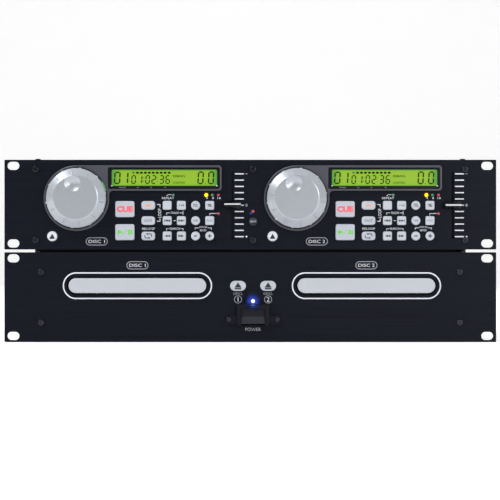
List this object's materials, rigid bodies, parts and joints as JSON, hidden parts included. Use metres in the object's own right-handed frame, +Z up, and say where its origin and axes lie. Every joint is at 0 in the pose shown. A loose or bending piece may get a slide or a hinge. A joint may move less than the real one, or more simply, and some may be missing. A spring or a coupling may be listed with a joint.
{
  "type": "rack disc player",
  "caption": "Rack-mount disc player: a control unit with jog wheels, displays, keys and pitch faders standing on a drive unit with sliding disc trays and a power rocker.",
  "frame": {"origin": "middle of the base, on the surface that the foot strips stand on", "axes": "+X right along the faceplates as seen from the front, -Y out of the faceplates, +Z up"},
  "size_m": [0.4826, 0.277, 0.1807],
  "materials": {
    "faceplate": "brushed, black anodised",
    "case": "satin black powder coat on sheet steel",
    "bezel": "fine satin",
    "window": "clear with a dark printed border",
    "board": "green glass-fibre laminate",
    "mechanism": "moulded, with steel guides",
    "moulding": "fine grain black",
    "socket": "black with plated contacts",
    "rubber": "matt black",
    "screw": "black zinc",
    "tray": "silver painted front on a black moulded tray",
    "jog": "silver satin paint",
    "key": "silver grey satin",
    "dark_key": "satin black"
  },
  "bodies": {
    "case": {"controller_faceplate": "faceplate", "controller_chassis": "case", "controller_cover": "case", "drive_faceplate": "faceplate", "drive_chassis": "case", "drive_cover": "case", "display_bezels": "bezel", "display_windows": "window", "circuit_boards": "board", "disc_loaders": "mechanism", "power_switch_guard": "moulding", "rear_sockets": "socket", "foot_strips": "rubber", "screws": "screw"},
    "tray_1": {"disc_tray_1": "tray"},
    "tray_2": {"disc_tray_2": "tray"},
    "jog_1": {"jog_wheel_1": "jog"},
    "jog_2": {"jog_wheel_2": "jog"},
    "fader_1": {"pitch_fader_1": "moulding"},
    "fader_2": {"pitch_fader_2": "moulding"},
    "rocker": {"power_rocker": "moulding"},
    "open_close_1": {"open_close_key_1": "key"},
    "open_close_2": {"open_close_key_2": "key"},
    "eject_1": {"eject_key_1": "key"},
    "eject_2": {"eject_key_2": "key"},
    "cue_1": {"cue_key_1": "key"},
    "cue_2": {"cue_key_2": "key"},
    "play_pause_1": {"play_pause_key_1": "key"},
    "play_pause_2": {"play_pause_key_2": "key"},
    "loop_in_1": {"loop_in_key_1": "key"},
    "loop_out_1": {"loop_out_key_1": "key"},
    "reloop_1": {"reloop_key_1": "key"},
    "repeat_1": {"repeat_key_1": "key"},
    "track_back_1": {"track_back_key_1": "key"},
    "search_back_1": {"search_back_key_1": "key"},
    "plus_ten_1": {"plus_ten_key_1": "key"},
    "track_next_1": {"track_next_key_1": "key"},
    "search_next_1": {"search_next_key_1": "key"},
    "single_1": {"single_key_1": "key"},
    "time_1": {"time_key_1": "key"},
    "bend_minus_1": {"bend_minus_key_1": "key"},
    "percent_1": {"percent_key_1": "key"},
    "pitch_1": {"pitch_key_1": "key"},
    "bend_plus_1": {"bend_plus_key_1": "key"},
    "relay": {"relay_key": "dark_key"},
    "loop_in_2": {"loop_in_key_2": "key"},
    "loop_out_2": {"loop_out_key_2": "key"},
    "reloop_2": {"reloop_key_2": "key"},
    "repeat_2": {"repeat_key_2": "key"},
    "track_back_2": {"track_back_key_2": "key"},
    "search_back_2": {"search_back_key_2": "key"},
    "plus_ten_2": {"plus_ten_key_2": "key"},
    "track_next_2": {"track_next_key_2": "key"},
    "search_next_2": {"search_next_key_2": "key"},
    "single_2": {"single_key_2": "key"},
    "time_2": {"time_key_2": "key"},
    "bend_minus_2": {"bend_minus_key_2": "key"},
    "percent_2": {"percent_key_2": "key"},
    "pitch_2": {"pitch_key_2": "key"},
    "bend_plus_2": {"bend_plus_key_2": "key"}
  },
  "joints": [
    {"name": "tray_slide_1", "type": "slide", "parent": "case", "child": "tray_1", "axis": [0, -1, 0], "range_m": [0, 0.136]},
    {"name": "tray_slide_2", "type": "slide", "parent": "case", "child": "tray_2", "axis": [0, -1, 0], "range_m": [0, 0.136]},
    {"name": "jog_turn_1", "type": "hinge", "parent": "case", "child": "jog_1", "pos_m": [-0.1705, -0.1315, 0.1415], "axis": [0, -1, 0], "continuous": true},
    {"name": "jog_turn_2", "type": "hinge", "parent": "case", "child": "jog_2", "pos_m": [0.0455, -0.1315, 0.1415], "axis": [0, -1, 0], "continuous": true},
    {"name": "fader_slide_1", "type": "slide", "parent": "case", "child": "fader_1", "axis": [0, 0, 1], "range_m": [-0.03, 0.03]},
    {"name": "fader_slide_2", "type": "slide", "parent": "case", "child": "fader_2", "axis": [0, 0, 1], "range_m": [-0.03, 0.03]},
    {"name": "rocker_tilt", "type": "hinge", "parent": "case", "child": "rocker", "pos_m": [0.0027, -0.122, 0.0248], "axis": [1, 0, 0], "range_deg": [0, 12]},
    {"name": "open_close_press_1", "type": "slide", "parent": "case", "child": "open_close_1", "axis": [0, 1, 0], "range_m": [0, 0.0008], "stiffness_N_per_m": 1500},
    {"name": "open_close_press_2", "type": "slide", "parent": "case", "child": "open_close_2", "axis": [0, 1, 0], "range_m": [0, 0.0008], "stiffness_N_per_m": 1500},
    {"name": "eject_press_1", "type": "slide", "parent": "case", "child": "eject_1", "axis": [0, 1, 0], "range_m": [0, 0.0008], "stiffness_N_per_m": 1500},
    {"name": "eject_press_2", "type": "slide", "parent": "case", "child": "eject_2", "axis": [0, 1, 0], "range_m": [0, 0.0008], "stiffness_N_per_m": 1500},
    {"name": "cue_press_1", "type": "slide", "parent": "case", "child": "cue_1", "axis": [0, 1, 0], "range_m": [0, 0.0008], "stiffness_N_per_m": 1500},
    {"name": "cue_press_2", "type": "slide", "parent": "case", "child": "cue_2", "axis": [0, 1, 0], "range_m": [0, 0.0008], "stiffness_N_per_m": 1500},
    {"name": "play_pause_press_1", "type": "slide", "parent": "case", "child": "play_pause_1", "axis": [0, 1, 0], "range_m": [0, 0.0008], "stiffness_N_per_m": 1500},
    {"name": "play_pause_press_2", "type": "slide", "parent": "case", "child": "play_pause_2", "axis": [0, 1, 0], "range_m": [0, 0.0008], "stiffness_N_per_m": 1500},
    {"name": "loop_in_press_1", "type": "slide", "parent": "case", "child": "loop_in_1", "axis": [0, 1, 0], "range_m": [0, 0.0008], "stiffness_N_per_m": 1500},
    {"name": "loop_out_press_1", "type": "slide", "parent": "case", "child": "loop_out_1", "axis": [0, 1, 0], "range_m": [0, 0.0008], "stiffness_N_per_m": 1500},
    {"name": "reloop_press_1", "type": "slide", "parent": "case", "child": "reloop_1", "axis": [0, 1, 0], "range_m": [0, 0.0008], "stiffness_N_per_m": 1500},
    {"name": "repeat_press_1", "type": "slide", "parent": "case", "child": "repeat_1", "axis": [0, 1, 0], "range_m": [0, 0.0008], "stiffness_N_per_m": 1500},
    {"name": "track_back_press_1", "type": "slide", "parent": "case", "child": "track_back_1", "axis": [0, 1, 0], "range_m": [0, 0.0008], "stiffness_N_per_m": 1500},
    {"name": "search_back_press_1", "type": "slide", "parent": "case", "child": "search_back_1", "axis": [0, 1, 0], "range_m": [0, 0.0008], "stiffness_N_per_m": 1500},
    {"name": "plus_ten_press_1", "type": "slide", "parent": "case", "child": "plus_ten_1", "axis": [0, 1, 0], "range_m": [0, 0.0008], "stiffness_N_per_m": 1500},
    {"name": "track_next_press_1", "type": "slide", "parent": "case", "child": "track_next_1", "axis": [0, 1, 0], "range_m": [0, 0.0008], "stiffness_N_per_m": 1500},
    {"name": "search_next_press_1", "type": "slide", "parent": "case", "child": "search_next_1", "axis": [0, 1, 0], "range_m": [0, 0.0008], "stiffness_N_per_m": 1500},
    {"name": "single_press_1", "type": "slide", "parent": "case", "child": "single_1", "axis": [0, 1, 0], "range_m": [0, 0.0008], "stiffness_N_per_m": 1500},
    {"name": "time_press_1", "type": "slide", "parent": "case", "child": "time_1", "axis": [0, 1, 0], "range_m": [0, 0.0008], "stiffness_N_per_m": 1500},
    {"name": "bend_minus_press_1", "type": "slide", "parent": "case", "child": "bend_minus_1", "axis": [0, 1, 0], "range_m": [0, 0.0008], "stiffness_N_per_m": 1500},
    {"name": "percent_press_1", "type": "slide", "parent": "case", "child": "percent_1", "axis": [0, 1, 0], "range_m": [0, 0.0008], "stiffness_N_per_m": 1500},
    {"name": "pitch_press_1", "type": "slide", "parent": "case", "child": "pitch_1", "axis": [0, 1, 0], "range_m": [0, 0.0008], "stiffness_N_per_m": 1500},
    {"name": "bend_plus_press_1", "type": "slide", "parent": "case", "child": "bend_plus_1", "axis": [0, 1, 0], "range_m": [0, 0.0008], "stiffness_N_per_m": 1500},
    {"name": "relay_press", "type": "slide", "parent": "case", "child": "relay", "axis": [0, 1, 0], "range_m": [0, 0.0008], "stiffness_N_per_m": 1500},
    {"name": "loop_in_press_2", "type": "slide", "parent": "case", "child": "loop_in_2", "axis": [0, 1, 0], "range_m": [0, 0.0008], "stiffness_N_per_m": 1500},
    {"name": "loop_out_press_2", "type": "slide", "parent": "case", "child": "loop_out_2", "axis": [0, 1, 0], "range_m": [0, 0.0008], "stiffness_N_per_m": 1500},
    {"name": "reloop_press_2", "type": "slide", "parent": "case", "child": "reloop_2", "axis": [0, 1, 0], "range_m": [0, 0.0008], "stiffness_N_per_m": 1500},
    {"name": "repeat_press_2", "type": "slide", "parent": "case", "child": "repeat_2", "axis": [0, 1, 0], "range_m": [0, 0.0008], "stiffness_N_per_m": 1500},
    {"name": "track_back_press_2", "type": "slide", "parent": "case", "child": "track_back_2", "axis": [0, 1, 0], "range_m": [0, 0.0008], "stiffness_N_per_m": 1500},
    {"name": "search_back_press_2", "type": "slide", "parent": "case", "child": "search_back_2", "axis": [0, 1, 0], "range_m": [0, 0.0008], "stiffness_N_per_m": 1500},
    {"name": "plus_ten_press_2", "type": "slide", "parent": "case", "child": "plus_ten_2", "axis": [0, 1, 0], "range_m": [0, 0.0008], "stiffness_N_per_m": 1500},
    {"name": "track_next_press_2", "type": "slide", "parent": "case", "child": "track_next_2", "axis": [0, 1, 0], "range_m": [0, 0.0008], "stiffness_N_per_m": 1500},
    {"name": "search_next_press_2", "type": "slide", "parent": "case", "child": "search_next_2", "axis": [0, 1, 0], "range_m": [0, 0.0008], "stiffness_N_per_m": 1500},
    {"name": "single_press_2", "type": "slide", "parent": "case", "child": "single_2", "axis": [0, 1, 0], "range_m": [0, 0.0008], "stiffness_N_per_m": 1500},
    {"name": "time_press_2", "type": "slide", "parent": "case", "child": "time_2", "axis": [0, 1, 0], "range_m": [0, 0.0008], "stiffness_N_per_m": 1500},
    {"name": "bend_minus_press_2", "type": "slide", "parent": "case", "child": "bend_minus_2", "axis": [0, 1, 0], "range_m": [0, 0.0008], "stiffness_N_per_m": 1500},
    {"name": "percent_press_2", "type": "slide", "parent": "case", "child": "percent_2", "axis": [0, 1, 0], "range_m": [0, 0.0008], "stiffness_N_per_m": 1500},
    {"name": "pitch_press_2", "type": "slide", "parent": "case", "child": "pitch_2", "axis": [0, 1, 0], "range_m": [0, 0.0008], "stiffness_N_per_m": 1500},
    {"name": "bend_plus_press_2", "type": "slide", "parent": "case", "child": "bend_plus_2", "axis": [0, 1, 0], "range_m": [0, 0.0008], "stiffness_N_per_m": 1500}
  ]
}
